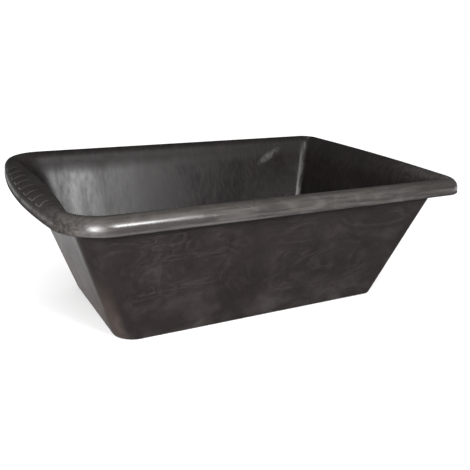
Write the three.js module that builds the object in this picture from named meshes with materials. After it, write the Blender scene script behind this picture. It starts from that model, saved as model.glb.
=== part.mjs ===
// Wheelbarrow tray: one moulded plastic tub with a hollow half-round rim.
// One end of the rim bows outwards into a wider pouring lip.
//
// Millimetres, +Z up. The origin is in the middle of the footprint, on the underside of the floor.
// +X runs along the tray, and the pouring lip is at the -X end. The two long sides face -Y and +Y.
//
// The tray is a loft. One section runs from the floor, up the inside, over the rim, under it and
// down the outside. Each point of the section has a reach, its distance outwards from the line
// where the outer wall face would meet the height of the rim. Each reach has its own outline.

import * as THREE from 'three';

// Overall height, and the outer wall faces carried up to that height
const HEIGHT = 319;
const WALL_TOP_HALF_WIDTH = 289;
const WALL_TOP_TO_LIP_END = 443.2;
const WALL_TOP_TO_PLAIN_END = 431.3;

// How far each wall leans in on its way down to the floor
const SIDE_INSET = 106.5;
const LIP_END_INSET = 113;
const PLAIN_END_INSET = 101.5;

// Moulded wall thickness, and the rim's section
const THICKNESS = 4;
const RIM_RADIUS = 23;
const RIM_DROP = 33;
const RIM_FOOT_FLARE = 0.75;
const RIM_FOOT_CHAMFER = 1;
const FLOOR_EDGE_RADIUS = 8;

// Plan corners of the outer wall face: at rim height, and at the floor
const LIP_CORNER_TOP = 65;
const LIP_CORNER_FLOOR = 47;
const PLAIN_CORNER_TOP = 22;
const PLAIN_CORNER_FLOOR = 10;

// Rim width at each end, and its outward bow, as shares of the rim width along the sides
const LIP_RIM_SHARE = 0.75;
const LIP_BOW_SHARE = 0.54;
const PLAIN_RIM_SHARE = 1.12;
const PLAIN_BOW_SHARE = 0.5;

// The wall under the lip curves in towards the load, and is straight again further down
const LIP_WALL_BULGE = 10;
const LIP_WALL_BULGE_REACH = 60;

// Facets
const SIDE_STEPS = 5;
const LIP_STEPS = 14;
const PLAIN_STEPS = 8;
const LIP_CORNER_STEPS = 10;
const PLAIN_CORNER_STEPS = 6;
const RIM_QUARTER_STEPS = 6;
const UNDER_RIM_QUARTER_STEPS = 4;
const WALL_STEPS = 4;
const FLOOR_EDGE_STEPS = 4;

const DRAFT = Math.atan2(SIDE_INSET, HEIGHT);
const QUARTER_TURN = Math.PI / 2;
const WALL_SPAN = THICKNESS / Math.cos(DRAFT);
const RIM_CENTRE_REACH = RIM_RADIUS * (1 / Math.cos(DRAFT) - Math.tan(DRAFT)) - WALL_SPAN;
const RIM_CENTRE_HEIGHT = HEIGHT - RIM_RADIUS;
const RIM_FOOT_HEIGHT = HEIGHT - RIM_DROP;

const trayMaterial = new THREE.MeshStandardMaterial({
  name: 'black_moulded_plastic',
  color: new THREE.Color(0.045, 0.042, 0.041),
  roughness: 0.42,
  metalness: 0,
});

// ---------- the section: points of reach (x) and height (y) ----------

function arcPoints(centreReach, centreHeight, radius, fromAngle, toAngle, steps) {
  const points = [];
  for (let step = 0; step <= steps; step += 1) {
    const angle = fromAngle + (toAngle - fromAngle) * step / steps;
    const reach = centreReach + radius * Math.cos(angle);
    points.push(new THREE.Vector2(reach, centreHeight + radius * Math.sin(angle)));
  }
  return points;
}

function pointsBetween(start, end, steps) {
  const points = [];
  for (let step = 1; step < steps; step += 1) {
    points.push(start.clone().lerp(end, step / steps));
  }
  return points;
}

// The curve from the floor into a wall; both faces share one centre
function floorEdge(radius) {
  const drop = (HEIGHT - FLOOR_EDGE_RADIUS) * Math.tan(DRAFT);
  const centreReach = -drop - FLOOR_EDGE_RADIUS / Math.cos(DRAFT);
  return arcPoints(centreReach, FLOOR_EDGE_RADIUS, radius, -QUARTER_TURN, -DRAFT, FLOOR_EDGE_STEPS);
}

// The half-round top of the rim, from the wall up to the crest and on to the outside; both faces
// share one centre
function rimArc(radius, quarterSteps) {
  const wallAngle = Math.PI - DRAFT;
  const centre = [RIM_CENTRE_REACH, RIM_CENTRE_HEIGHT, radius];
  return [
    ...arcPoints(...centre, wallAngle, QUARTER_TURN, quarterSteps).slice(0, -1),
    ...arcPoints(...centre, QUARTER_TURN, 0, quarterSteps),
  ];
}

// The short skirt that hangs from the rim, with a flared and chamfered foot
function rimSkirt() {
  const outside = RIM_CENTRE_REACH + RIM_RADIUS;
  const inside = outside - THICKNESS;
  const flared = outside + RIM_FOOT_FLARE;
  const foot = RIM_FOOT_HEIGHT;
  return [
    new THREE.Vector2(outside, foot + 4 * RIM_FOOT_CHAMFER),
    new THREE.Vector2(flared, foot + 2.5 * RIM_FOOT_CHAMFER),
    new THREE.Vector2(flared, foot + RIM_FOOT_CHAMFER),
    new THREE.Vector2(flared - RIM_FOOT_CHAMFER, foot),
    new THREE.Vector2(inside + RIM_FOOT_CHAMFER, foot),
    new THREE.Vector2(inside, foot + RIM_FOOT_CHAMFER),
  ];
}

function traySection() {
  const insideFloorEdge = floorEdge(FLOOR_EDGE_RADIUS - THICKNESS);
  const outsideFloorEdge = floorEdge(FLOOR_EDGE_RADIUS).reverse();
  const rimTop = rimArc(RIM_RADIUS, RIM_QUARTER_STEPS);
  const rimUnderside = rimArc(RIM_RADIUS - THICKNESS, UNDER_RIM_QUARTER_STEPS).reverse();
  return [
    ...insideFloorEdge,
    ...pointsBetween(insideFloorEdge.at(-1), rimTop[0], WALL_STEPS),
    ...rimTop,
    ...rimSkirt(),
    ...rimUnderside,
    ...pointsBetween(rimUnderside.at(-1), outsideFloorEdge[0], WALL_STEPS),
    ...outsideFloorEdge,
  ];
}

// ---------- the outline that a reach has in plan ----------

// Half length, bow and corner radius of one end, for a reach
function lipEnd(reach) {
  const down = Math.max(0, -reach / SIDE_INSET);
  if (reach > 0) {
    const width = reach * (LIP_RIM_SHARE + LIP_BOW_SHARE);
    const bulge = LIP_WALL_BULGE * Math.max(0, 1 - reach / RIM_RADIUS);
    return {
      end: WALL_TOP_TO_LIP_END + width - bulge,
      bow: reach * LIP_BOW_SHARE - bulge,
      corner: LIP_CORNER_TOP + reach,
    };
  }
  const fade = Math.max(0, 1 + reach / LIP_WALL_BULGE_REACH);
  const bulge = LIP_WALL_BULGE * fade * fade * (3 - 2 * fade);
  return {
    end: WALL_TOP_TO_LIP_END - LIP_END_INSET * down - bulge,
    bow: -bulge,
    corner: THREE.MathUtils.lerp(LIP_CORNER_TOP, LIP_CORNER_FLOOR, down),
  };
}

function plainEnd(reach) {
  const down = Math.max(0, -reach / SIDE_INSET);
  const out = Math.max(0, reach);
  const width = out * (PLAIN_RIM_SHARE + PLAIN_BOW_SHARE);
  return {
    end: WALL_TOP_TO_PLAIN_END + width - PLAIN_END_INSET * down,
    bow: out * PLAIN_BOW_SHARE,
    corner: THREE.MathUtils.lerp(PLAIN_CORNER_TOP, PLAIN_CORNER_FLOOR, down) + out,
  };
}

// Where the bowed end runs into its corner arc, so that the two meet without a kink
function cornerStart(end, halfWidth) {
  let across = halfWidth - end.corner;
  let turn = 0;
  for (let pass = 0; pass < 4; pass += 1) {
    turn = Math.atan2(2 * end.bow, across);
    across = halfWidth - end.corner * (1 - Math.sin(turn));
  }
  return { across, turn };
}

// One end seen from its middle: the corner's arc, then the bowed line across to the other corner
function endPoints(end, halfWidth, endSteps, cornerSteps) {
  const { across, turn } = cornerStart(end, halfWidth);
  const centreX = end.end - end.bow - end.corner * Math.cos(turn);
  const centreY = across - end.corner * Math.sin(turn);
  const corner = [];
  for (let step = 0; step < cornerSteps; step += 1) {
    const angle = THREE.MathUtils.lerp(QUARTER_TURN, turn, step / cornerSteps);
    const x = centreX + end.corner * Math.cos(angle);
    corner.push(new THREE.Vector2(x, centreY + end.corner * Math.sin(angle)));
  }
  const line = [];
  for (let step = 0; step <= endSteps; step += 1) {
    const y = THREE.MathUtils.lerp(across, -across, step / endSteps);
    line.push(new THREE.Vector2(end.end - end.bow * (y / across) ** 2, y));
  }
  const mirrored = corner.map((point) => new THREE.Vector2(point.x, -point.y)).reverse();
  return [...corner, ...line, ...mirrored];
}

// The whole outline, clockwise from above: plain end first, then the near side, lip and far side
function trayOutline(reach) {
  const halfWidth = WALL_TOP_HALF_WIDTH + reach;
  const plain = endPoints(plainEnd(reach), halfWidth, PLAIN_STEPS, PLAIN_CORNER_STEPS);
  const lip = endPoints(lipEnd(reach), halfWidth, LIP_STEPS, LIP_CORNER_STEPS);
  const turned = lip.map((point) => new THREE.Vector2(-point.x, -point.y));
  return [
    ...plain,
    ...pointsBetween(plain.at(-1), turned[0], SIDE_STEPS),
    ...turned,
    ...pointsBetween(turned.at(-1), plain[0], SIDE_STEPS),
  ];
}

// ---------- the closed skin ----------

function trayGeometry() {
  const section = traySection();
  const positions = [];
  for (const point of section) {
    for (const place of trayOutline(point.x)) {
      positions.push(place.x, place.y, point.y);
    }
  }
  const around = trayOutline(0).length;
  const lastRing = (section.length - 1) * around;
  const floorTop = section.length * around;
  const floorUnder = floorTop + 1;
  positions.push(0, 0, THICKNESS);
  positions.push(0, 0, 0);

  const faces = [];
  for (let index = 0; index < around; index += 1) {
    const next = (index + 1) % around;
    faces.push(floorTop, next, index);
    faces.push(floorUnder, lastRing + index, lastRing + next);
    for (let ring = 0; ring < lastRing; ring += around) {
      const above = ring + around;
      faces.push(ring + index, ring + next, above + index);
      faces.push(ring + next, above + next, above + index);
    }
  }

  const geometry = new THREE.BufferGeometry();
  geometry.setAttribute('position', new THREE.Float32BufferAttribute(positions, 3));
  geometry.setIndex(faces);
  geometry.computeVertexNormals();
  return geometry;
}

function makeTray() {
  const tray = new THREE.Mesh(trayGeometry(), trayMaterial);
  tray.name = 'tray';
  return tray;
}

const wheelbarrowTray = new THREE.Group();
wheelbarrowTray.add(makeTray());

export default wheelbarrowTray;
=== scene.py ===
# %% [markdown]
# # A moulded plastic tray, built in Blender
#
# The object is the tub of a wheelbarrow: one piece of black plastic, with walls that lean out,
# a hollow rolled rim, and one end that bows out into a pouring lip. The sizes come from a CAD
# model that is already finished. Blender adds what that model leaves out: a fine, even mesh,
# the small marks of moulding, and the look of used plastic.
#
# Everything after this is made in the same metres and the same axes, so nothing has to be
# fitted afterwards.

# %% Load the fixed frame
import math

import bpy
from mathutils import Matrix, Vector


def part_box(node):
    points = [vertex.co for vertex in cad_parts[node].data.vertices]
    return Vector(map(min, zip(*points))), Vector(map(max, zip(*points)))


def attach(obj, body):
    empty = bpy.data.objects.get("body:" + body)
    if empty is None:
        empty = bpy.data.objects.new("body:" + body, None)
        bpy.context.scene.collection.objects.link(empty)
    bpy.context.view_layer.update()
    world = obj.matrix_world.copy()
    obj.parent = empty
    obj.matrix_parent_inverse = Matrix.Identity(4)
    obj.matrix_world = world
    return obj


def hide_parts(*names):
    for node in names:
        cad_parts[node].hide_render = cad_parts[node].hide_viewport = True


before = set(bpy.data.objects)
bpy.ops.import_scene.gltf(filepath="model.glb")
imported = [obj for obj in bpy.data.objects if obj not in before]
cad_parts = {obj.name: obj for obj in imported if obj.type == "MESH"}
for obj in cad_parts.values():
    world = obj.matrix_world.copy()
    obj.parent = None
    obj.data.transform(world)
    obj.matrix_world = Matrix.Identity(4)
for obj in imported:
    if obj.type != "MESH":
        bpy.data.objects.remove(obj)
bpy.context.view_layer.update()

MM = 0.001
tray_low, tray_high = (Vector(corner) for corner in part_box("tray"))
tray_size = tray_high - tray_low
print("CAD tray, mm:", [round(side / MM, 1) for side in tray_size])

# %% [markdown]
# ## Where the camera stands
#
# A camera is placed most simply by an eye point and three turns: yaw about the upright axis,
# pitch downwards, and a small roll. The three axes of the camera are worked out from those turns
# and written as a matrix. That is clearer than rotating an object step by step, and it can't
# fall into gimbal trouble. A lens of about 50 mm gives the mild perspective of a product picture
# taken from a metre and a half away.

# %% Place the camera
EYE = Vector((-0.7050, -1.3560, 0.6508))
YAW = math.radians(28.60)
PITCH = math.radians(18.37)
ROLL = math.radians(2.03)
LENS = 49.53
SENSOR = 36.0

look = Vector((math.sin(YAW) * math.cos(PITCH), math.cos(YAW) * math.cos(PITCH), -math.sin(PITCH)))
level_right = Vector((math.cos(YAW), -math.sin(YAW), 0.0))
level_up = level_right.cross(look)
right = math.cos(ROLL) * level_right + math.sin(ROLL) * level_up
up = math.cos(ROLL) * level_up - math.sin(ROLL) * level_right

camera_data = bpy.data.cameras.new("camera")
camera_data.lens = LENS
camera_data.sensor_width = SENSOR
camera = bpy.data.objects.new("camera", camera_data)
bpy.context.scene.collection.objects.link(camera)
camera.matrix_world = Matrix.Translation(EYE) @ Matrix((right, up, -look)).transposed().to_4x4()
bpy.context.scene.camera = camera
print("camera stands", round((EYE - (tray_low + tray_high) / 2).length, 3), "m from the tray")

# %% [markdown]
# ## A way to write formulas as nodes
#
# Blender's node trees do arithmetic with one Math node per sign, which makes long formulas hard
# to read in a script. A small class helps: it holds one output socket, and Python's own + - * /
# on it add the Math nodes. The tree that comes out is an ordinary one, and a formula in the
# script looks like a formula. Geometry Nodes, the material and the world all use it.

# %% Adding and feeding nodes
NODE_SPACING = 190
NODES_IN_A_ROW = 14


def add_node(tree, kind, **settings):
    """Adds a node, sets its properties and lays it out in rows."""
    node = tree.nodes.new(kind)
    place = len(tree.nodes) - 1
    row, column = divmod(place, NODES_IN_A_ROW)
    node.location = (column * NODE_SPACING, -row * NODE_SPACING)
    for name, value in settings.items():
        setattr(node, name, value)
    return node


def feed(socket, value):
    """Links a field to an input, or writes a plain value into it."""
    if isinstance(value, Field):
        socket.id_data.links.new(value.socket, socket)
    else:
        socket.default_value = value


def calculate(tree, operation, *values):
    """One Math node."""
    node = add_node(tree, "ShaderNodeMath", operation=operation)
    for socket, value in zip(node.inputs, values):
        feed(socket, value)
    return Field(node.outputs[0])


# %% A number that a node gives
class Field:
    """A number that a node gives, ready for arithmetic."""

    def __init__(self, socket):
        self.socket = socket
        self.tree = socket.id_data

    def __add__(self, other):
        return calculate(self.tree, "ADD", self, other)

    def __radd__(self, other):
        return self + other

    def __sub__(self, other):
        return calculate(self.tree, "SUBTRACT", self, other)

    def __rsub__(self, other):
        return calculate(self.tree, "SUBTRACT", other, self)

    def __mul__(self, other):
        return calculate(self.tree, "MULTIPLY", self, other)

    def __rmul__(self, other):
        return self * other

    def __truediv__(self, other):
        return calculate(self.tree, "DIVIDE", self, other)

    def use(self, operation, *others):
        return calculate(self.tree, operation, self, *others)

    def at_least(self, other):
        return self.use("MAXIMUM", other)

    def at_most(self, other):
        return self.use("MINIMUM", other)

    def clamped(self):
        return self.at_least(0.0).at_most(1.0)

    def eased(self):
        """Zero to one with level ends, from a value that is already between them."""
        return self * self * (3.0 - self * 2.0)


# %% Blends and ramps
def blend(start, end, share):
    return start + (end - start) * share


def ramp(value, start, end):
    """Rises smoothly from 0 at start to 1 at end."""
    return ((value - start) / (end - start)).clamped().eased()


# %% Named inputs for a tree
INPUT_KINDS = {float: "NodeSocketFloat", int: "NodeSocketInt"}


def named_inputs(tree, values):
    """Adds one input per entry, with its value as the default, and returns them as fields."""
    entry = add_node(tree, "NodeGroupInput")
    for name, value in values.items():
        kind = value if isinstance(value, str) else INPUT_KINDS[type(value)]
        socket = tree.interface.new_socket(name, in_out="INPUT", socket_type=kind)
        if not isinstance(value, str):
            socket.default_value = value
    return {name: Field(entry.outputs[name]) for name in values}


def set_inputs(modifier, values):
    """Sets a modifier's inputs by their identifiers."""
    for item in modifier.node_group.interface.items_tree:
        if item.item_type == "SOCKET" and item.name in values:
            modifier[item.identifier] = values[item.name]


# %% [markdown]
# ## The tray's driving sizes
#
# A moulded tub has a section that stays the same all the way round, and an outline that changes
# with height. So the sizes fall in two groups. The section needs the wall thickness, the draft
# (how far the walls lean) and the radii of the rolled rim. The outline needs the length, the
# width and the plan corners, at the rim and at the floor. All of them repeat the CAD model's
# driving sizes, and the overall height is read from it.

# %% Sizes of the section
HEIGHT = tray_size.z
SIDE_INSET = 106.5 * MM
THICKNESS = 4.0 * MM
RIM_RADIUS = 23.0 * MM
RIM_DROP = 33.0 * MM
RIM_FOOT_FLARE = 0.75 * MM
RIM_FOOT_ROUND = 1.0 * MM
FLARE_START = 4.0 * MM
FLARE_MIDDLE = 3.2 * MM
FLARE_END = 2.4 * MM
FLOOR_EDGE_RADIUS = 8.0 * MM

DRAFT = math.atan2(SIDE_INSET, HEIGHT)
WALL_SPAN = THICKNESS / math.cos(DRAFT)
RIM_CENTRE_REACH = RIM_RADIUS * (1 / math.cos(DRAFT) - math.tan(DRAFT)) - WALL_SPAN
RIM_CENTRE_HEIGHT = HEIGHT - RIM_RADIUS
RIM_FOOT_HEIGHT = HEIGHT - RIM_DROP
QUARTER_TURN = math.pi / 2
print("walls lean out by", round(math.degrees(DRAFT), 1), "degrees")

# %% Sizes of the outline
OUTLINE_SIZES = {
    "Half Width": 289.0 * MM,
    "Side Inset": SIDE_INSET,
    "Rim Radius": RIM_RADIUS,
}
LIP_SIZES = {
    "End": 443.2 * MM,
    "End Inset": 113.0 * MM,
    "Corner Top": 65.0 * MM,
    "Corner Floor": 47.0 * MM,
    "Rim Share": 0.75,
    "Bow Share": 0.54,
    "Wall Bulge": 10.0 * MM,
    "Bulge Reach": 60.0 * MM,
}
PLAIN_SIZES = {
    "End": 431.3 * MM,
    "End Inset": 101.5 * MM,
    "Corner Top": 22.0 * MM,
    "Corner Floor": 10.0 * MM,
    "Rim Share": 1.12,
    "Bow Share": 0.5,
    "Wall Bulge": 0.0,
    "Bulge Reach": 60.0 * MM,
}

# %% [markdown]
# ## The section
#
# The section is drawn once, as a chain of points in a flat mesh: up the inside of the wall, over
# the half-round rim, down its short skirt, back up under it, and down the outside. A point's x
# is its reach, the distance outwards from the wall, and its z is its height. Arcs are sampled by
# a formula, with more points where the curve is tight. Drawing it as a mesh lets the node tree
# read it back point by point.

# %% Arcs and straight runs
WALL_STEPS = 26
RIM_STEPS = 14
UNDER_RIM_STEPS = 20
FLOOR_EDGE_STEPS = 6
FOOT_STEPS = 3


def arc(centre, radius, start, end, steps):
    angles = [start + (end - start) * step / steps for step in range(steps + 1)]
    return [(centre[0] + radius * math.cos(a), centre[1] + radius * math.sin(a)) for a in angles]


def straight(start, end, steps):
    """The points between two others, without the two."""
    shares = [step / steps for step in range(1, steps)]
    return [tuple(a + (b - a) * share for a, b in zip(start, end)) for share in shares]


# %% The floor's edge and the rim's skirt
def floor_edge(radius):
    drop = (HEIGHT - FLOOR_EDGE_RADIUS) * math.tan(DRAFT)
    centre = (-drop - FLOOR_EDGE_RADIUS / math.cos(DRAFT), FLOOR_EDGE_RADIUS)
    return arc(centre, radius, -QUARTER_TURN, -DRAFT, FLOOR_EDGE_STEPS)


def rim_skirt():
    """The skirt's outer face, its flared and rounded foot, and the start of its inner face.

    The first ring stands a little above the flare, so that the face over it shades flat.
    """
    outer = RIM_CENTRE_REACH + RIM_RADIUS
    inner = outer - THICKNESS
    flared = outer + RIM_FOOT_FLARE
    foot = RIM_FOOT_HEIGHT
    fold = RIM_FOOT_ROUND
    outer_centre = (flared - fold, foot + fold)
    inner_centre = (inner + fold, foot + fold)
    return [
        (outer, foot + FLARE_START + 2 * fold),
        (outer, foot + FLARE_START),
        (outer + RIM_FOOT_FLARE / 2, foot + FLARE_MIDDLE),
        (flared, foot + FLARE_END),
        *arc(outer_centre, fold, 0, -QUARTER_TURN, FOOT_STEPS),
        *arc(inner_centre, fold, -QUARTER_TURN, -2 * QUARTER_TURN, FOOT_STEPS),
        (inner, foot + FLARE_START),
    ]


# %% The whole section, from the floor's top round to its underside
rim_centre = (RIM_CENTRE_REACH, RIM_CENTRE_HEIGHT)
wall_angle = math.pi - DRAFT
inner_edge = floor_edge(FLOOR_EDGE_RADIUS - THICKNESS)
outer_edge = floor_edge(FLOOR_EDGE_RADIUS)[::-1]
rim_inner_half = arc(rim_centre, RIM_RADIUS, wall_angle, QUARTER_TURN, RIM_STEPS)
rim_outer_half = arc(rim_centre, RIM_RADIUS, QUARTER_TURN, 0, RIM_STEPS)[1:]
under_radius = RIM_RADIUS - THICKNESS
rim_underside = arc(rim_centre, under_radius, 0, wall_angle, UNDER_RIM_STEPS)
section_inside = inner_edge + straight(inner_edge[-1], rim_inner_half[0], WALL_STEPS) + rim_inner_half
section_outside = [
    *rim_outer_half,
    *rim_skirt(),
    *rim_underside,
    *straight(rim_underside[-1], outer_edge[0], WALL_STEPS),
    *outer_edge,
]
section = section_inside + section_outside
CREST_RING = len(section_inside) - 1
print(len(section), "points in the section, the crest is number", CREST_RING)

# %% The section as a mesh
section_mesh = bpy.data.meshes.new("section")
section_points = [(reach, 0.0, height) for reach, height in section]
section_links = [(number, number + 1) for number in range(len(section) - 1)]
section_mesh.from_pydata(section_points, section_links, [])
section_object = bpy.data.objects.new("section", section_mesh)

# %% [markdown]
# ## The outline of one end
#
# Seen from above, each end is a slightly bowed line with a round corner at each side. Both ends
# follow the same rule with other sizes, so the rule is one node group that is used twice. For a
# reach it works out how far away the end is, how much it bows and how large the corner is, and
# then walks along: first over the bowed line, then round the corner. Clamping each stretch to its
# own columns lets one formula serve the whole walk, with no switches.

# %% How an end changes with reach
def end_shape(reach, size):
    """Distance, bow and corner radius of an end, for a reach."""
    out = reach.at_least(0.0)
    down = (reach * -1.0 / size["Side Inset"]).at_least(0.0)
    rising = (reach / size["Bulge Reach"] + 1.0).clamped().eased()
    falling = (1.0 - reach / size["Rim Radius"]).clamped()
    bulge = size["Wall Bulge"] * rising * falling
    rim_width = out * (size["Rim Share"] + size["Bow Share"])
    end = size["End"] + rim_width - size["End Inset"] * down - bulge
    bow = out * size["Bow Share"] - bulge
    corner = blend(size["Corner Top"], size["Corner Floor"], down) + out
    return end, bow, corner


# %% The node group for one end
CORNER_PASSES = 4


def make_end_tree():
    tree = bpy.data.node_groups.new("Outline of one end", "GeometryNodeTree")
    walk = {"Reach": 0.0, "Column": 0.0, "Line Columns": 1.0, "Corner Columns": 1.0}
    size = named_inputs(tree, {**walk, **OUTLINE_SIZES, **PLAIN_SIZES})
    reach = size["Reach"]
    end, bow, corner = end_shape(reach, size)
    half_width = size["Half Width"] + reach
    across = half_width - corner
    for _ in range(CORNER_PASSES):
        turn = (bow * 2.0).use("ARCTAN2", across)
        across = half_width - corner * (1.0 - turn.use("SINE"))
    along = (size["Column"] / size["Line Columns"]).clamped()
    round_corner = ((size["Column"] - size["Line Columns"]) / size["Corner Columns"]).clamped()
    angle = turn + (QUARTER_TURN - turn) * round_corner
    far = end - bow * along * along + corner * (angle.use("COSINE") - turn.use("COSINE"))
    side = across * along + corner * (angle.use("SINE") - turn.use("SINE"))
    leave = add_node(tree, "NodeGroupOutput")
    for name, value in (("Far", far), ("Side", side)):
        tree.interface.new_socket(name, in_out="OUTPUT", socket_type="NodeSocketFloat")
        feed(leave.inputs[name], value)
    return tree


end_tree = make_end_tree()
print("one end takes", len(end_tree.nodes), "nodes")


# %% Put the group to use
def end_point(tree, sizes, reach, column, line_columns, corner_columns):
    """The group for one end, with its walk set, as two fields: far and side."""
    node = add_node(tree, "GeometryNodeGroup", node_tree=end_tree)
    walk = {
        "Reach": reach,
        "Column": column,
        "Line Columns": line_columns,
        "Corner Columns": corner_columns,
    }
    for name, value in {**OUTLINE_SIZES, **sizes, **walk}.items():
        feed(node.inputs[name], value)
    return Field(node.outputs["Far"]), Field(node.outputs["Side"])


# %% [markdown]
# ## The tray's shell
#
# The shell could be modelled by hand with extrusions, but its shape follows a rule: every ring of
# the section has its own outline. So Geometry Nodes lay out a flat grid, one column per step
# round the outline and one row per point of the section, and a single Set Position node moves
# each grid point to its place. The floor is a second grid, stretched between four runs of the
# lowest ring. That keeps the floor in even quads, where a fan would gather thin triangles.

# %% How many columns each stretch gets
PLAIN_LINE_COLUMNS = 26
PLAIN_CORNER_COLUMNS = 16
SIDE_COLUMNS = 62
LIP_CORNER_COLUMNS = 28
LIP_LINE_COLUMNS = PLAIN_LINE_COLUMNS + (PLAIN_CORNER_COLUMNS - LIP_CORNER_COLUMNS) // 2
SIDE_START = PLAIN_LINE_COLUMNS + PLAIN_CORNER_COLUMNS
HALF_COLUMNS = SIDE_START + SIDE_COLUMNS + LIP_CORNER_COLUMNS + LIP_LINE_COLUMNS
COLUMNS = 2 * HALF_COLUMNS
RINGS = len(section)
FLOOR_PLAIN_CORNER = PLAIN_LINE_COLUMNS + PLAIN_CORNER_COLUMNS // 2
FLOOR_LIP_CORNER = HALF_COLUMNS - LIP_LINE_COLUMNS - LIP_CORNER_COLUMNS // 2
FLOOR_LENGTH_COLUMNS = FLOOR_LIP_CORNER - FLOOR_PLAIN_CORNER
FLOOR_WIDTH_COLUMNS = 2 * FLOOR_PLAIN_CORNER
HALF_STEP = 0.5
print(COLUMNS, "columns by", RINGS, "rings, floor", FLOOR_LENGTH_COLUMNS, "by", FLOOR_WIDTH_COLUMNS)


# %% A numbered grid
def grid_nodes(tree, rows, row_length):
    """A grid primitive, and the two counts that number its points: row, and place in the row."""
    grid = add_node(tree, "GeometryNodeMeshGrid")
    grid.inputs["Vertices X"].default_value = rows
    grid.inputs["Vertices Y"].default_value = row_length
    index = Field(add_node(tree, "GeometryNodeInputIndex").outputs[0])
    # Half a step keeps the quotient off whole numbers, where rounding could drop it by one row
    row = ((index + HALF_STEP) / row_length).use("FLOOR")
    return grid.outputs["Mesh"], row, index - row * row_length


# %% Vectors, and one fixed number
def constant(tree, number):
    value = Field(add_node(tree, "ShaderNodeValue").outputs[0])
    value.socket.default_value = number
    return value


def combine(tree, x, y, z):
    node = add_node(tree, "ShaderNodeCombineXYZ")
    for socket, value in zip(node.inputs, (x, y, z)):
        feed(socket, value)
    return Field(node.outputs[0])


def separate(tree, vector):
    node = add_node(tree, "ShaderNodeSeparateXYZ")
    feed(node.inputs[0], vector)
    return [Field(socket) for socket in node.outputs]


def add_points(tree, operation, first, second):
    node = add_node(tree, "ShaderNodeVectorMath", operation=operation)
    feed(node.inputs[0], first)
    feed(node.inputs[1], second)
    return Field(node.outputs[0])


def point_of(tree, geometry, index):
    """The position that another mesh has at an index."""
    node = add_node(tree, "GeometryNodeSampleIndex", data_type="FLOAT_VECTOR")
    position = add_node(tree, "GeometryNodeInputPosition")
    tree.links.new(geometry, node.inputs["Geometry"])
    tree.links.new(position.outputs[0], node.inputs["Value"])
    feed(node.inputs["Index"], index)
    return Field(node.outputs["Value"])


def mix_points(tree, first, second, share):
    node = add_node(tree, "ShaderNodeMix", data_type="VECTOR")
    feed(node.inputs["Factor"], share)
    vectors = [socket for socket in node.inputs if socket.type == "VECTOR" and socket.name in "AB"]
    feed(vectors[0], first)
    feed(vectors[1], second)
    return Field(next(socket for socket in node.outputs if socket.type == "VECTOR"))


# %% Nodes that a mesh passes through
def moved(tree, geometry, position):
    """Set Position, and the mesh that comes out of it."""
    node = add_node(tree, "GeometryNodeSetPosition")
    tree.links.new(geometry, node.inputs["Geometry"])
    feed(node.inputs["Position"], position)
    return node.outputs["Geometry"]


def passed(tree, kind, geometry, **settings):
    """Sends a mesh through a node that has one mesh in and one out."""
    node = add_node(tree, kind, **settings)
    tree.links.new(geometry, node.inputs[0])
    return node


def marked(tree, geometry, name, value):
    """Stores a number on every point, for the material to read."""
    node = passed(tree, "GeometryNodeStoreNamedAttribute", geometry, data_type="FLOAT")
    node.inputs["Name"].default_value = name
    feed(node.inputs["Value"], value)
    return node.outputs["Geometry"]


# %% The wall: the grid wrapped round the outline
def wall_mesh(tree, section_geometry):
    mesh, column, ring = grid_nodes(tree, COLUMNS + 1, RINGS)
    reach, _, height = separate(tree, point_of(tree, section_geometry, ring))
    from_plain = column.at_most(COLUMNS - column)
    from_lip = HALF_COLUMNS - from_plain
    plain_walk = (from_plain, float(PLAIN_LINE_COLUMNS), float(PLAIN_CORNER_COLUMNS))
    lip_walk = (from_lip, float(LIP_LINE_COLUMNS), float(LIP_CORNER_COLUMNS))
    plain_far, plain_side = end_point(tree, PLAIN_SIZES, reach, *plain_walk)
    lip_far, lip_side = end_point(tree, LIP_SIZES, reach, *lip_walk)
    share = ((from_plain - SIDE_START) / SIDE_COLUMNS).clamped()
    near_or_far = (HALF_COLUMNS - column).use("SIGN")
    x = blend(plain_far, lip_far * -1.0, share)
    y = blend(plain_side, lip_side, share) * near_or_far
    inside = (CREST_RING - ring + 1.0).clamped()
    placed = moved(tree, mesh, combine(tree, x, y, height))
    return marked(tree, placed, "inside", inside)


# %% The floor: a grid stretched between four runs of one ring
def floor_mesh(tree, wall, ring):
    mesh, along, across = grid_nodes(tree, FLOOR_LENGTH_COLUMNS + 1, FLOOR_WIDTH_COLUMNS + 1)

    def edge(column):
        return point_of(tree, wall, column * RINGS + ring)

    along_share = along / FLOOR_LENGTH_COLUMNS
    across_share = across / FLOOR_WIDTH_COLUMNS
    plain_corner = constant(tree, FLOOR_PLAIN_CORNER)
    lip_corner = constant(tree, FLOOR_LIP_CORNER)
    near_plain = COLUMNS - plain_corner
    near_lip = COLUMNS - lip_corner
    far_side = edge(along + FLOOR_PLAIN_CORNER)
    near_side = edge(near_plain - along)
    plain_end = edge((near_plain + across).use("MODULO", float(COLUMNS)))
    lip_end = edge(near_lip - across)
    over_length = mix_points(tree, near_side, far_side, across_share)
    over_width = mix_points(tree, plain_end, lip_end, along_share)
    near_corners = mix_points(tree, edge(near_plain), edge(near_lip), along_share)
    far_corners = mix_points(tree, edge(plain_corner), edge(lip_corner), along_share)
    corners = mix_points(tree, near_corners, far_corners, across_share)
    total = add_points(tree, "ADD", over_length, over_width)
    placed = moved(tree, mesh, add_points(tree, "SUBTRACT", total, corners))
    return marked(tree, placed, "inside", 1.0 if ring == 0 else 0.0)


# %% [markdown]
# ## Walls that are not quite flat
#
# Large moulded walls are never perfectly flat: they draw in a little as the plastic cools. The
# eye sees it as a slow wander in the reflections. One low, smooth noise, read at each point's own
# place, shifts the wall sideways by well under a millimetre. The inner and outer faces shift
# together, so the wall keeps its thickness.

# %% The wander
WANDER_SCALE = 5.5
NOISE_MIDDLE = 0.5


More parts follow.
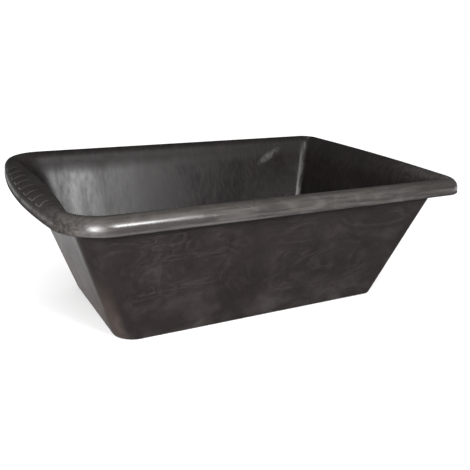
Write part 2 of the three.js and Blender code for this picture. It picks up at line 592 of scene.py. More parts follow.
def wandered(tree, geometry, amount, seed):
    noise = add_node(tree, "ShaderNodeTexNoise", noise_dimensions="4D")
    feed(noise.inputs["W"], seed)
    noise.inputs["Scale"].default_value = WANDER_SCALE
    noise.inputs["Detail"].default_value = 1.0
    position = add_node(tree, "GeometryNodeInputPosition")
    tree.links.new(position.outputs[0], noise.inputs["Vector"])
    sideways, lengthways, _ = separate(tree, Field(noise.outputs["Color"]))
    shift_x = (sideways - NOISE_MIDDLE) * amount
    shift_y = (lengthways - NOISE_MIDDLE) * amount
    node = passed(tree, "GeometryNodeSetPosition", geometry)
    feed(node.inputs["Offset"], combine(tree, shift_x, shift_y, 0.0))
    return node.outputs["Geometry"]


# %% The finished shell tree
MERGE_DISTANCE = 0.01 * MM


def finish_tree(tree, geometry, material):
    """Realize Instances, then Set Material, then the output."""
    realize = passed(tree, "GeometryNodeRealizeInstances", geometry)
    coat = passed(tree, "GeometryNodeSetMaterial", realize.outputs[0])
    feed(coat.inputs["Material"], material)
    leave = add_node(tree, "NodeGroupOutput")
    tree.interface.new_socket("Mesh", in_out="OUTPUT", socket_type="NodeSocketGeometry")
    tree.links.new(coat.outputs[0], leave.inputs["Mesh"])


def make_shell_tree():
    tree = bpy.data.node_groups.new("Tray shell", "GeometryNodeTree")
    values = {
        "Section": "NodeSocketObject",
        "Material": "NodeSocketMaterial",
        "Wander": 1.4 * MM,
        "Seed": 3.0,
    }
    inputs = named_inputs(tree, values)
    section_info = add_node(tree, "GeometryNodeObjectInfo")
    feed(section_info.inputs["Object"], inputs["Section"])
    wall = wall_mesh(tree, section_info.outputs["Geometry"])
    floor_under = floor_mesh(tree, wall, RINGS - 1)
    floor_top = passed(tree, "GeometryNodeFlipFaces", floor_mesh(tree, wall, 0)).outputs[0]
    wall_out = passed(tree, "GeometryNodeFlipFaces", wall).outputs[0]
    join = add_node(tree, "GeometryNodeJoinGeometry")
    for part in (wall_out, floor_under, floor_top):
        tree.links.new(part, join.inputs[0])
    merge = passed(tree, "GeometryNodeMergeByDistance", join.outputs[0])
    merge.inputs["Distance"].default_value = MERGE_DISTANCE
    wander = wandered(tree, merge.outputs[0], inputs["Wander"], inputs["Seed"])
    smooth = passed(tree, "GeometryNodeSetShadeSmooth", wander)
    finish_tree(tree, smooth.outputs[0], inputs["Material"])
    return tree


# %% [markdown]
# ## From a node tree to a plain mesh
#
# A tree only makes a shape while it sits on an object as a modifier. The finished pieces should be
# plain meshes, which open in any program and are worked out once. So an empty carrier takes the
# tree, the evaluated result is copied into a mesh of its own, and the carrier is thrown away. The
# inputs are set first, by their identifiers, because names alone don't reach them.

# %% Turn a node tree into a plain mesh
def build(name, tree, values):
    """Runs a tree on an empty mesh and keeps the result as a mesh of its own."""
    carrier = bpy.data.objects.new(name + "_carrier", bpy.data.meshes.new(name + "_carrier"))
    bpy.context.scene.collection.objects.link(carrier)
    modifier = carrier.modifiers.new("shape", "NODES")
    modifier.node_group = tree
    set_inputs(modifier, values)
    evaluated = carrier.evaluated_get(bpy.context.evaluated_depsgraph_get())
    mesh = bpy.data.meshes.new_from_object(evaluated)
    bpy.data.objects.remove(carrier)
    # The carrier had no material, so an empty slot stands before the one that the tree sets
    mesh.materials.pop(index=0)
    mesh.name = name
    piece = bpy.data.objects.new(name, mesh)
    bpy.context.scene.collection.objects.link(piece)
    return piece


# %% [markdown]
# ## Used black plastic
#
# A flat black would look like a hole. Real moulded plastic shows faint swirls where the melt
# flowed, a fine grain from the mould, a rim that hands have greyed and smoothed, and streaks and
# dust where loads have slid out. Some of the colour is painted light as well: the grey of the
# near rim is partly painted sheen where it faces the windows, a darker band under the rim is
# painted shade, and a pale line down the plain end's inner corners is a painted highlight. All of
# it could be painted on an image, but an image has one sharpness and needs the skin to be
# unfolded. Here each mark is a mask instead: a number from 0 to 1 that nodes work out at every
# point. The masks steer three things only, the colour, the roughness and the bump. Everything is
# read in the object's own metres, so a millimetre in the material is a millimetre on the tray.

# %% Where a point of the skin is
plastic = bpy.data.materials.new("black_moulded_plastic")
plastic.use_nodes = True
paint = plastic.node_tree
place_on_tray = Field(add_node(paint, "ShaderNodeTexCoord").outputs["Object"])
across_x, across_y, height = separate(paint, place_on_tray)
towards_lip = across_x * -1.0
towards_front = across_y * -1.0
inside_mark = add_node(paint, "ShaderNodeAttribute", attribute_name="inside")
inside = Field(inside_mark.outputs["Fac"])
outside = 1.0 - inside

# %% Patterns, and sums of marks
EVEN = (1.0, 1.0, 1.0)
UNTURNED = (0.0, 0.0, 0.0)


def noise(scale, detail=2.0, distortion=0.0, stretch=EVEN, turn=UNTURNED):
    """A noise from 0 to 1. A stretch under 1 along an axis draws it out along that axis."""
    mapping = add_node(paint, "ShaderNodeMapping")
    feed(mapping.inputs["Vector"], place_on_tray)
    mapping.inputs["Scale"].default_value = stretch
    mapping.inputs["Rotation"].default_value = turn
    node = add_node(paint, "ShaderNodeTexNoise")
    paint.links.new(mapping.outputs[0], node.inputs["Vector"])
    node.inputs["Scale"].default_value = scale
    node.inputs["Detail"].default_value = detail
    node.inputs["Distortion"].default_value = distortion
    return Field(node.outputs["Fac"])


def patches(low, high, **pattern):
    """A noise cut into patches: 0 where it is under low, 1 where it is over high."""
    return ramp(noise(**pattern), low, high)


def weighted(*marks):
    """Adds up marks, each times its weight."""
    return sum(mark * weight for mark, weight in marks)


# %% [markdown]
# ## Where wear, dirt and painted shade gather
#
# A mark belongs to a place. Hands hold the near side of the rim and the lip, and dust lies on the
# floor and low on the walls. The lighter grey of the near rim is wear and also painted sheen, where
# that side faces the windows. Right under the rim the outer wall is painted darker, as painted
# shade where the rim's shadow falls. Such places could be selected by hand, but then they would be
# lost when the mesh changes. Ramps over height, length and width find them again each time. Each
# band below gives where a ramp starts and where it ends.

# %% The rim, what hands reach, and the sheen painted on the near rim
RIM_FOOT_BAND = (RIM_FOOT_HEIGHT - 3 * MM, RIM_FOOT_HEIGHT + 3 * MM)
RIM_INSIDE_BAND = (HEIGHT - 33 * MM, HEIGHT - 22 * MM)
CREST_BAND = (HEIGHT - 22 * MM, HEIGHT - 4 * MM)
HANDLED_AND_SHEEN_BAND = (RIM_FOOT_HEIGHT + 4 * MM, RIM_FOOT_HEIGHT + 13 * MM)
NEAR_BAND = (50 * MM, 250 * MM)
LIP_BAND = (360 * MM, 440 * MM)
KNOCKED_BAND = (420 * MM, 465 * MM)
LIP_HANDLING_AND_SHEEN = 0.7

rim = blend(ramp(height, *RIM_FOOT_BAND), ramp(height, *RIM_INSIDE_BAND), inside)
crest = ramp(height, *CREST_BAND)
near_side = ramp(towards_front, *NEAR_BAND)
lip_side = ramp(towards_lip, *LIP_BAND)
# The near rim and the lip get a lighter grey: partly wear from hands, partly painted sheen where they
# face the windows.
handled_and_sheen = near_side.at_least(lip_side * LIP_HANDLING_AND_SHEEN) * rim * ramp(height, *HANDLED_AND_SHEEN_BAND)
knocked_corner = ramp(across_x, *KNOCKED_BAND) * near_side * rim
inner_wall = inside * (1.0 - rim)

# %% Low places, and the band of painted shade under the rim
LOW_BAND = (0.0, 120 * MM)
FLOOR_BAND = (4 * MM, 12 * MM)
SHADE_BAND_START = (255 * MM, 270 * MM)
SHADE_BAND_END = (285 * MM, 285.8 * MM)
LIP_FACE_DEPTH = (4 * MM, 30 * MM)
LIP_FACE_BAND = (40 * MM, 210 * MM)


def below(band):
    """1 under the band and 0 over it."""
    return 1.0 - ramp(height, *band)


low_down = below(LOW_BAND)
inner_floor = inside * below(FLOOR_BAND)
# Painted shade: the band of outer wall right under the rim, where the rim's shadow falls.
painted_shade_under_rim = outside * ramp(height, *SHADE_BAND_START) * below(SHADE_BAND_END)
lip_face = (height - HEIGHT) * (LIP_SIZES["End Inset"] / HEIGHT) + LIP_SIZES["End"]
near_lip_face = 1.0 - ramp(lip_face - towards_lip, *LIP_FACE_DEPTH)
# Paler and warmer towards the bottom of the lip end's outer face.
pale_low_lip_end = outside * near_lip_face * below(LIP_FACE_BAND)

# %% [markdown]
# ## A painted highlight in the tight corners
#
# At the plain end the inner corners are almost square, and their tight round catches a thin line
# of light. That highlight is painted on as a pale line, a centimetre wide, broken into patches. The
# line could be a thin mesh of its own, but it is only a change of colour. So the walls' own rule
# gives the distance to both walls at each height, and the line is where both are small.

# %% Distance from the corner, and the line
CORNER_HIGHLIGHT_CORE = 5 * MM
CORNER_HIGHLIGHT_EDGE = 11 * MM

inner_reach = (height - HEIGHT) * math.tan(DRAFT) - WALL_SPAN
inner_end = inner_reach * (PLAIN_SIZES["End Inset"] / SIDE_INSET) + PLAIN_SIZES["End"]
inner_side = inner_reach + OUTLINE_SIZES["Half Width"]
from_end = inner_end - across_x
from_side = inner_side - across_y.use("ABSOLUTE")
from_corner = from_end.at_least(from_side)
# A painted highlight: a pale line down both inner corners of the plain end.
painted_corner_highlight = inside * (1.0 - ramp(from_corner, CORNER_HIGHLIGHT_CORE, CORNER_HIGHLIGHT_EDGE))
painted_corner_highlight = painted_corner_highlight * patches(0.35, 0.65, scale=60.0, detail=3.0, stretch=(1.0, 1.0, 0.4))

# %% [markdown]
# ## Swirls and clouds from moulding
#
# The melt spreads from where it is let into the mould, folds over itself, and leaves faint wavy
# lines. A sine of a slow noise gives such lines: they follow the noise as contour lines follow a
# hill. On its own that looks like a map, so two more noises break the lines into patches.

# %% The flow of the melt
FLOW_LINES = 62.0
FLOW_SHARPNESS = 1.6

flow = noise(scale=4.2, detail=3.0, distortion=1.8, stretch=(1.0, 1.0, 1.5))
flow_wave = (flow * FLOW_LINES).use("SINE") * 0.5 + 0.5
flow_lines = flow_wave.use("POWER", FLOW_SHARPNESS)
flow_patches = patches(0.36, 0.62, scale=5.5, detail=3.0)
flow_breaks = patches(0.35, 0.60, scale=22.0, detail=3.0, distortion=0.6)
swirls = flow_lines * flow_patches * flow_breaks * outside * (1.0 - rim)
clouds = noise(scale=9.0, detail=4.0, distortion=0.6)
mottle = noise(scale=26.0, detail=4.0, distortion=0.8)

# %% [markdown]
# ## Marks from use
#
# Loads slide along the inner walls and leave streaks that run downwards. Tools and doorways
# scratch the outside at any angle, and the rim gets short rubs along its length. One pattern does
# all of it: a noise that is stretched along one axis is a streak, and turned as well it is a
# scratch. Rounder noises are scuffs, spots and dust.

# %% Streaks and scratches
streaks = patches(0.38, 0.72, scale=120.0, detail=3.0, stretch=(1.0, 1.0, 0.035))
wide_streaks = patches(0.35, 0.70, scale=26.0, stretch=(1.0, 1.0, 0.07))
rising_scratches = patches(
    0.63, 0.72, scale=70.0, detail=3.0, distortion=0.3, stretch=(0.06, 1.0, 2.2), turn=(0.0, 0.5, 0.0)
)
falling_scratches = patches(
    0.64, 0.72, scale=60.0, detail=3.0, distortion=0.3, stretch=(0.08, 1.0, 2.0), turn=(0.0, -0.9, 0.0)
)
scratch_patches = patches(0.40, 0.65, scale=7.0)
scratches = (rising_scratches + falling_scratches).clamped() * scratch_patches * outside
rim_streaks = patches(0.40, 0.65, scale=150.0, detail=3.0, stretch=(0.06, 1.0, 1.0)) * rim * near_side

# %% Scuffs, dust and spots
scuffs = patches(0.52, 0.70, scale=55.0, detail=5.0, distortion=0.8, stretch=(0.45, 0.45, 1.0))
dust = patches(0.40, 0.75, scale=16.0, detail=6.0, distortion=0.4)
lip_blotches = ramp(mottle, 0.46, 0.64) * rim * lip_side

# %% A dried smear high on the far wall
SMEAR_PLACE = (284 * MM, 271 * MM)
SMEAR_LENGTH = 50 * MM
SMEAR_WIDTH = 12 * MM
SMEAR_SLOPE = math.radians(27)
FAR_WALL_BAND = (200 * MM, 240 * MM)

smear_x = across_x - SMEAR_PLACE[0]
smear_z = height - SMEAR_PLACE[1]
smear_along = smear_x * math.cos(SMEAR_SLOPE) + smear_z * math.sin(SMEAR_SLOPE)
smear_across = smear_z * math.cos(SMEAR_SLOPE) - smear_x * math.sin(SMEAR_SLOPE)
smear_far = (smear_along / SMEAR_LENGTH).use("POWER", 2.0)
smear_wide = (smear_across / SMEAR_WIDTH).use("POWER", 2.0)
smear = (1.0 - smear_far - smear_wide).clamped() * ramp(across_y, *FAR_WALL_BAND) * inside
smear = smear * patches(0.30, 0.60, scale=90.0, detail=3.0, distortion=0.5)

# %% [markdown]
# ## Colour, in coats
#
# Black plastic gives back about a hundredth of the light as its own colour, and the rest of what
# is seen is gloss. So the base is very dark and a little warm, and even the palest mark is a thin
# veil. The coats go on one after another, as a painter would lay them, each with a colour and a
# mask that is weighted by how strongly it shows.

# %% The colours
BLACK = (0.0084, 0.0060, 0.0058, 1.0)
RIM_GREY = (0.068, 0.064, 0.060, 1.0)
SWIRL_GREY = (0.044, 0.035, 0.034, 1.0)
DUST_COLOUR = (0.115, 0.104, 0.094, 1.0)
# Paler and warmer low on the lip end.
PALE_WARM_COLOUR = (0.150, 0.112, 0.092, 1.0)
BLOTCH_BROWN = (0.016, 0.010, 0.009, 1.0)
# Used for the smear and for the painted corner highlight.
SMEAR_AND_HIGHLIGHT_COLOUR = (0.20, 0.195, 0.188, 1.0)
# Painted shade for the band under the rim.
PAINTED_SHADE_COLOUR = (0.004, 0.0037, 0.0036, 1.0)


def tint(tree, under, colour, share):
    """Mixes a colour over another by a mask."""
    node = add_node(tree, "ShaderNodeMix", data_type="RGBA")
    feed(node.inputs["Factor"], share)
    colours = [socket for socket in node.inputs if socket.type == "RGBA"]
    feed(colours[0], under)
    feed(colours[1], colour)
    return Field(next(socket for socket in node.outputs if socket.type == "RGBA"))


# %% How much each coat shows
RIM_WEAR_AND_SHEEN_RANGE = (0.35, 0.60)
WEAR_AND_SHEEN_UNDER_CREST = 0.25
PALE_WARM_RANGE = (0.18, 0.43)

# Lighter grey on the near rim and the lip: wear from hands, and painted sheen where they face the
# windows.
rim_wear_and_sheen = handled_and_sheen * blend(*RIM_WEAR_AND_SHEEN_RANGE, mottle) * blend(WEAR_AND_SHEEN_UNDER_CREST, 1.0, crest)
moulding_marks = weighted((swirls, 0.17), (ramp(clouds, 0.35, 0.75), 0.07))
fallen_dust = weighted(
    (dust * inner_floor, 0.35),
    (dust * low_down * outside, 0.16),
    (low_down * outside, 0.02),
    (dust, 0.03),
)
rubbed_marks = weighted(
    (streaks * inside, 0.06),
    (scratches, 0.06),
    (scuffs * rim * near_side, 0.12),
    (scuffs * knocked_corner, 0.80),
    (rim_streaks, 0.18),
)
# The smear is a stain; the corner line is a painted highlight.
smear_and_corner_highlight = weighted((smear, 0.42), (painted_corner_highlight, 0.50))

# %% Lay the coats on
coats = [
    # Wear, and painted sheen on the near rim.
    (RIM_GREY, rim_wear_and_sheen),
    (SWIRL_GREY, moulding_marks),
    (DUST_COLOUR, fallen_dust),
    # Paler and warmer towards the bottom of the lip end.
    (PALE_WARM_COLOUR, pale_low_lip_end * blend(*PALE_WARM_RANGE, dust)),
    (BLOTCH_BROWN, lip_blotches * 0.7),
    (DUST_COLOUR, rubbed_marks),
    # The smear, and the painted corner highlight.
    (SMEAR_AND_HIGHLIGHT_COLOUR, smear_and_corner_highlight),
    # Painted shade under the rim.
    (PAINTED_SHADE_COLOUR, painted_shade_under_rim * 0.9),
]
colour = BLACK
for coat_colour, share in coats:
    colour = tint(paint, colour, coat_colour, share.clamped())
print("the colour has", len(coats), "coats over the black")

# %% [markdown]
# ## Roughness
#
# Roughness is how widely a surface spreads its gloss, and on black plastic it matters more than
# the colour. Hands polish the near rim, so it gives a crisp highlight. The walls are as the mould
# left them, and the tops of the inner walls are duller. Every mark also changes the gloss a
# little, which is why scratches and swirls can be seen at all.

# %% Roughness of each part
OUTSIDE_ROUGHNESS = 0.40
INSIDE_ROUGHNESS = 0.37
INSIDE_TOP_ROUGHNESS = 0.67
INSIDE_TOP_BAND = (258 * MM, 298 * MM)
RIM_ROUGHNESS = 0.62
HANDLED_RIM_ROUGHNESS = 0.27
SHADE_BAND_AND_SMEAR_ROUGHNESS = 0.36
ROUGHNESS_LIMITS = (0.12, 0.90)

inside_top = ramp(height, *INSIDE_TOP_BAND)
inside_roughness = blend(INSIDE_ROUGHNESS, INSIDE_TOP_ROUGHNESS, inside_top)
roughness = blend(OUTSIDE_ROUGHNESS, inside_roughness, inside)
roughness = blend(roughness, RIM_ROUGHNESS, rim)
roughness = blend(roughness, HANDLED_RIM_ROUGHNESS, handled_and_sheen)

# %% Roughness of the marks
mark_roughness = weighted(
    (clouds - NOISE_MIDDLE, 0.12),
    (mottle - NOISE_MIDDLE, 0.08),
    (streaks * inner_wall, 0.05),
    ((wide_streaks - NOISE_MIDDLE) * inner_wall, 0.07),
    (scuffs * rim, 0.08),
    (swirls, 0.06),
    (scratches, 0.10),
    (rim_streaks, 0.06),
    (lip_blotches, 0.15),
    (dust * inner_floor, 0.20),
)
# The band of painted shade under the rim and the smear get a roughness of their own.
shade_band_and_smear = weighted((painted_shade_under_rim, 0.95), (smear, 0.50)).clamped()
roughness = blend(roughness + mark_roughness, SHADE_BAND_AND_SMEAR_ROUGHNESS, shade_band_and_smear)
lowest, highest = ROUGHNESS_LIMITS
roughness = roughness.at_least(lowest).at_most(highest)

# %% [markdown]
# ## Bump
#
# The mould's grain, a slow unevenness and the edges of scratches are a tenth of a millimetre deep
# or less. That is far too fine for the mesh, which would need millions of faces. A Bump node leans
# the shading instead. Its distance is left at one, so the depths below are true depths.

# %% The fine relief
GRAIN_DEPTH = 0.03 * MM
WOBBLE_DEPTH = 0.12 * MM
SWIRL_DEPTH = 0.05 * MM
SCRATCH_DEPTH = 0.05 * MM
SCUFF_DEPTH = 0.04 * MM

relief = weighted(
    (noise(scale=900.0), GRAIN_DEPTH),
    (noise(scale=38.0), WOBBLE_DEPTH),
    (swirls, SWIRL_DEPTH),
    (scratches, -SCRATCH_DEPTH),
    (scuffs * rim, SCUFF_DEPTH),
)
bump = add_node(paint, "ShaderNodeBump")
bump.inputs["Strength"].default_value = 1.0
bump.inputs["Distance"].default_value = 1.0
feed(bump.inputs["Height"], relief)

# %% The finished plastic
PLASTIC_IOR = 1.49

skin = paint.nodes["Principled BSDF"]
skin.inputs["IOR"].default_value = PLASTIC_IOR
feed(skin.inputs["Base Color"], colour)
feed(skin.inputs["Roughness"], roughness)
paint.links.new(bump.outputs[0], skin.inputs["Normal"])
print("the plastic takes", len(paint.nodes), "nodes")

# %% Make the shell
shell = build("tray_shell", make_shell_tree(), {"Section": section_object, "Material": plastic})
print("tray_shell:", len(shell.data.vertices), "points,", len(shell.data.polygons), "faces")
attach(shell, "root")
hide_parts("tray")

# %% [markdown]
# ## Grip pads on the pouring lip
#
# A row of low raised pads stands on the roll of the lip, where hands tip the tray. They repeat
# and they follow a curved surface, so they are made flat first: one rounded pad, copied along a
# straight line. Then the whole row is wrapped. Its length runs along the lip, its width round the
# roll, and its thickness outwards, through the same outline rule that shapes the shell. The pads
# therefore sit exactly on the surface, sunk a little into it, however the lip bows. Wrapping swaps
# left and right on the way, so the faces are turned over afterwards to point outwards again.

# %% The wrapping rule
LIP_LINE_HALF = 231 * MM
ONE_COLUMN = 1.0


def wrapped_on_lip(tree, geometry, roll_angle, sink):
    """Wraps flat parts round the lip's roll: x along the lip, y round it, z outwards."""
    position = Field(add_node(tree, "GeometryNodeInputPosition").outputs[0])
    along, round_roll, rise = separate(tree, position)
    angle = round_roll / RIM_RADIUS + roll_angle
    radius = rise - sink + RIM_RADIUS
    reach = angle.use("COSINE") * radius + RIM_CENTRE_REACH
    height_on_lip = angle.use("SINE") * radius + RIM_CENTRE_HEIGHT
    column = along.use("ABSOLUTE") / LIP_LINE_HALF
    far, side = end_point(tree, LIP_SIZES, reach, column, ONE_COLUMN, ONE_COLUMN)
    return moved(tree, geometry, combine(tree, far * -1.0, side * along.use("SIGN"), height_on_lip))


# %% The pads
PAD_POINTS = {"Vertices X": 5, "Vertices Y": 4, "Vertices Z": 2}
PAD_SMOOTHING = 2


def make_pads_tree():
    tree = bpy.data.node_groups.new("Grip pads", "GeometryNodeTree")
    values = {
        "Pads": 8,
        "Pitch": 44.0 * MM,
        "Pad Length": 31.0 * MM,
        "Pad Width": 25.0 * MM,
        "Pad Thickness": 6.0 * MM,
        "Sink": 1.5 * MM,
        "Roll Angle": math.radians(64),
        "Material": "NodeSocketMaterial",
    }
    inputs = named_inputs(tree, values)
    line = add_node(tree, "GeometryNodeMeshLine")
    feed(line.inputs["Count"], inputs["Pads"])
    half_run = (inputs["Pads"] - 1.0) * inputs["Pitch"] * -0.5
    feed(line.inputs["Start Location"], combine(tree, half_run, 0.0, 0.0))
    feed(line.inputs["Offset"], combine(tree, inputs["Pitch"], 0.0, 0.0))
    pad = add_node(tree, "GeometryNodeMeshCube")
    pad_size = combine(tree, inputs["Pad Length"], inputs["Pad Width"], inputs["Pad Thickness"])
    feed(pad.inputs["Size"], pad_size)
    for name, count in PAD_POINTS.items():
        pad.inputs[name].default_value = count
    rounded = passed(tree, "GeometryNodeSubdivisionSurface", pad.outputs["Mesh"])
    rounded.inputs["Level"].default_value = PAD_SMOOTHING
    copies = add_node(tree, "GeometryNodeInstanceOnPoints")
    tree.links.new(line.outputs["Mesh"], copies.inputs["Points"])
    tree.links.new(rounded.outputs[0], copies.inputs["Instance"])
    flat = passed(tree, "GeometryNodeRealizeInstances", copies.outputs[0])
    wrapped = wrapped_on_lip(tree, flat.outputs[0], inputs["Roll Angle"], inputs["Sink"])
    faces_out = passed(tree, "GeometryNodeFlipFaces", wrapped)
    smooth = passed(tree, "GeometryNodeSetShadeSmooth", faces_out.outputs[0])
    finish_tree(tree, smooth.outputs[0], inputs["Material"])
    return tree


pads = build("grip_pads", make_pads_tree(), {"Material": plastic})
print("grip_pads:", len(pads.data.polygons), "faces")
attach(pads, "root")

# %% [markdown]
# ## Moulding nubs on the rim
#
# Small pips stay where vents in the mould met the rim: one near the middle of each long side, and
# one in the middle of the plain end. Each is a small ball, half sunk in the surface. The ball is
# made once, and the tree puts a copy on each marked point.

# %% Where the nubs are
def on_side_rim(along, roll_angle, side):
    reach = RIM_CENTRE_REACH + RIM_RADIUS * math.cos(roll_angle)
    rim_height = RIM_CENTRE_HEIGHT + RIM_RADIUS * math.sin(roll_angle)
    return Vector((along, side * (OUTLINE_SIZES["Half Width"] + reach), rim_height))


def on_plain_rim(across, roll_angle):
    reach = RIM_CENTRE_REACH + RIM_RADIUS * math.cos(roll_angle)
    share = PLAIN_SIZES["Rim Share"] + PLAIN_SIZES["Bow Share"]
    far = PLAIN_SIZES["End"] + reach * share
    rim_height = RIM_CENTRE_HEIGHT + RIM_RADIUS * math.sin(roll_angle)
    return Vector((far, across, rim_height))


SIDE_NUB_ALONG = -112 * MM
SIDE_NUB_ROLL = math.radians(34)
PLAIN_NUB_ACROSS = 7 * MM
PLAIN_NUB_ROLL = math.radians(92)

nub_places = [
    on_side_rim(SIDE_NUB_ALONG, SIDE_NUB_ROLL, -1),
    on_side_rim(SIDE_NUB_ALONG, SIDE_NUB_ROLL, 1),
    on_plain_rim(PLAIN_NUB_ACROSS, PLAIN_NUB_ROLL),
]
nub_points = bpy.data.meshes.new("nub_places")
nub_points.from_pydata(nub_places, [], [])
nub_points_object = bpy.data.objects.new("nub_places", nub_points)
print(len(nub_places), "places for nubs")

# %% The nubs
NUB_SMOOTHING = 4


def make_nubs_tree():
    tree = bpy.data.node_groups.new("Moulding nubs", "GeometryNodeTree")
    values = {
        "Places": "NodeSocketObject",
        "Radius": 2.6 * MM,
        "Material": "NodeSocketMaterial",
    }
    inputs = named_inputs(tree, values)
    places = add_node(tree, "GeometryNodeObjectInfo")
    feed(places.inputs["Object"], inputs["Places"])
    ball = add_node(tree, "GeometryNodeMeshIcoSphere")
    feed(ball.inputs["Radius"], inputs["Radius"])
    ball.inputs["Subdivisions"].default_value = NUB_SMOOTHING
    copies = add_node(tree, "GeometryNodeInstanceOnPoints")
    tree.links.new(places.outputs["Geometry"], copies.inputs["Points"])
    tree.links.new(ball.outputs[0], copies.inputs["Instance"])
    smooth = passed(tree, "GeometryNodeSetShadeSmooth", copies.outputs[0])
    finish_tree(tree, smooth.outputs[0], inputs["Material"])
    return tree


nubs = build("moulding_nubs", make_nubs_tree(), {"Places": nub_points_object, "Material": plastic})
print("moulding_nubs:", len(nubs.data.polygons), "faces")
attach(nubs, "root")

# %% [markdown]
# ## The floor
#
# The tray stands on a pale, matt floor that runs far past the edges of the view, like a sheet of
# studio paper. One large square is enough for it. It lies half a millimetre below the tray, so
# that two flat faces never share a plane. The tray's gloss doesn't see it: what is mirrored there
# is the studio's own table, which can be darker than the floor looks.

# %% Make the floor
FLOOR_HALF_SIZE = 12.0
FLOOR_GAP = 0.5 * MM
FLOOR_COLOUR = (0.86, 0.86, 0.86, 1.0)
FLOOR_ROUGHNESS = 0.9

floor_corners = [(-1, -1), (1, -1), (1, 1), (-1, 1)]
floor_points = [(x * FLOOR_HALF_SIZE, y * FLOOR_HALF_SIZE, 0) for x, y in floor_corners]
floor_data = bpy.data.meshes.new("stage_floor")
floor_data.from_pydata(floor_points, [], [(0, 1, 2, 3)])
floor_object = bpy.data.objects.new("stage_floor", floor_data)
floor_object.location.z = -FLOOR_GAP
floor_object.visible_glossy = False
bpy.context.scene.collection.objects.link(floor_object)
pale = bpy.data.materials.new("pale_floor")
pale.use_nodes = True
floor_skin = pale.node_tree.nodes["Principled BSDF"]
floor_skin.inputs["Base Color"].default_value = FLOOR_COLOUR
floor_skin.inputs["Roughness"].default_value = FLOOR_ROUGHNESS
floor_data.materials.append(pale)

# %% [markdown]
# ## A studio for a black, half-glossy thing
#
# Black plastic hardly shows its own colour: what is seen is mostly what it reflects. So the
# studio is built from reflections. Below the horizon the world is a warm table, darker right
# under the tray and bright further off. Above it are a dim wall, a dark gap and a dim ceiling.
# One small window stands in front, and gives the highlight along the rim and the glow on the far
# wall. A tall one to its left is caught mostly by the rim's near corner.

# %% How bright each part of the room is
FRONT_WALL_LIGHT = 0.27
BACK_WALL_LIGHT = 0.07
GAP_LIGHT = 0.085
CEILING_LIGHT = 0.12
NEAR_TABLE_LIGHT = 0.20
FAR_TABLE_LIGHT = 2.0
LEFT_TABLE_SHARE = 0.35
FRONT_TABLE_SHARE = 0.5
TABLE_END_SHARE = 0.15
BACKDROP_LIGHT = 1.0
WHITE = (1.0, 1.0, 1.0, 1.0)
TABLE_COLOUR = (1.0, 0.89, 0.885, 1.0)

# %% Read the direction of a ray
world = bpy.data.worlds.new("studio")
world.use_nodes = True
room = world.node_tree
direction = add_node(room, "ShaderNodeTexCoord").outputs["Generated"]
rightwards, backwards, upwards = separate(room, Field(direction))
leftwards = rightwards * -1.0
frontwards = backwards * -1.0
downwards = upwards * -1.0

# %% Above the horizon: the wall, the gap and the ceiling
WALL_TURN = (-0.2, 0.4)
GAP_RISE = (0.15, 0.42)
BACK_CEILING_TURN = (-0.1, 0.4)
BACK_CEILING_RISE = (0.35, 0.65)
OVERHEAD_RISE = (0.62, 0.92)

wall_light = blend(FRONT_WALL_LIGHT, BACK_WALL_LIGHT, ramp(backwards, *WALL_TURN))
upper = blend(wall_light, GAP_LIGHT, ramp(upwards, *GAP_RISE))
over_back = ramp(backwards, *BACK_CEILING_TURN) * ramp(upwards, *BACK_CEILING_RISE)
overhead = ramp(upwards, *OVERHEAD_RISE)
upper = blend(upper, CEILING_LIGHT, (over_back + overhead).clamped())

# %% Below the horizon: the table
TABLE_RISE = (-0.62, -0.15)
TABLE_LEFT_TURN = (0.3, 0.8)
TABLE_FRONT_TURN = (0.0, 0.6)
TABLE_END_TURN = (0.0, 0.5)
TABLE_END_RISE = (-0.27, -0.10)

lower = blend(NEAR_TABLE_LIGHT, FAR_TABLE_LIGHT, ramp(upwards, *TABLE_RISE))
lower = lower * blend(1.0, LEFT_TABLE_SHARE, ramp(leftwards, *TABLE_LEFT_TURN))
lower = lower * blend(1.0, FRONT_TABLE_SHARE, ramp(frontwards, *TABLE_FRONT_TURN))
table_end = ramp(backwards, *TABLE_END_TURN) * ramp(upwards, *TABLE_END_RISE)
lower = lower * blend(1.0, TABLE_END_SHARE, table_end)

# %% The room as the world
HORIZON = (-0.06, 0.06)
WARM_FALL = (0.3, 0.75)

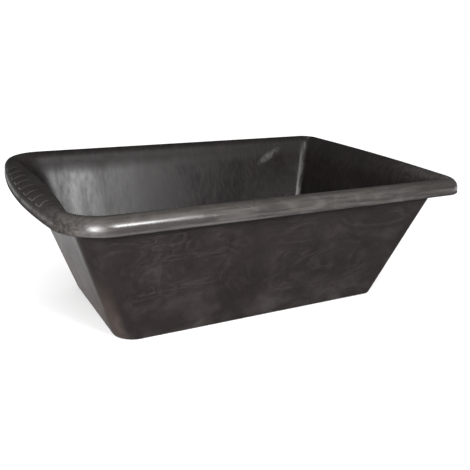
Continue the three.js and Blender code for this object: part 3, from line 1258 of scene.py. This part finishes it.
above_table = ramp(upwards, *HORIZON)
warmth = (1.0 - above_table) * ramp(downwards, *WARM_FALL)
seen = Field(add_node(room, "ShaderNodeLightPath").outputs["Is Camera Ray"])
room_light = blend(blend(lower, upper, above_table), BACKDROP_LIGHT, seen)
background = room.nodes["Background"]
feed(background.inputs["Strength"], room_light)
feed(background.inputs["Color"], tint(room, WHITE, TABLE_COLOUR, warmth))
bpy.context.scene.world = world
bpy.context.scene.view_settings.view_transform = "Standard"
print("the room takes", len(room.nodes), "nodes")

# %% The windows
WINDOW_PLACE = (0.00, -1.43, 0.94)
WINDOW_SIZE = (0.36, 0.34)
WINDOW_POWER = 21.0
CORNER_WINDOW_PLACE = (-1.08, -1.36, 0.52)
CORNER_WINDOW_SIZE = (0.45, 0.90)
CORNER_WINDOW_POWER = 42.0
TRAY_CENTRE = (tray_low + tray_high) / 2


def softbox(name, place, size, power):
    """A rectangle of light that faces the tray."""
    data = bpy.data.lights.new(name, "AREA")
    data.shape = "RECTANGLE"
    data.size, data.size_y = size
    data.energy = power
    lamp = bpy.data.objects.new(name, data)
    lamp.location = place
    lamp.rotation_euler = (lamp.location - TRAY_CENTRE).to_track_quat("Z", "Y").to_euler()
    bpy.context.scene.collection.objects.link(lamp)
    print(name, "stands", round((lamp.location - TRAY_CENTRE).length, 2), "m from the tray")


softbox("window", WINDOW_PLACE, WINDOW_SIZE, WINDOW_POWER)
softbox("corner_window", CORNER_WINDOW_PLACE, CORNER_WINDOW_SIZE, CORNER_WINDOW_POWER)

# %% [markdown]
# ## A lamp for the floor alone
#
# The floor should be white, but light enough for that would flood the tray too. Light linking
# solves it: a lamp is given a collection of the objects that it lights, and this one holds the
# floor and nothing else. The lamp casts no shadow either, so all that is left on the floor is the
# faint shadow that the room and the windows cast.

# %% The floor lamp
FLOOR_LAMP_STRENGTH = 3.6
FLOOR_LAMP_SPREAD = math.radians(150)

floor_lamp_data = bpy.data.lights.new("floor_lamp", "SUN")
floor_lamp_data.energy = FLOOR_LAMP_STRENGTH
floor_lamp_data.angle = FLOOR_LAMP_SPREAD
floor_lamp_data.use_shadow = False
floor_lamp = bpy.data.objects.new("floor_lamp", floor_lamp_data)
bpy.context.scene.collection.objects.link(floor_lamp)
only_floor = bpy.data.collections.new("lit_by_floor_lamp")
only_floor.objects.link(floor_object)
floor_lamp.light_linking.receiver_collection = only_floor
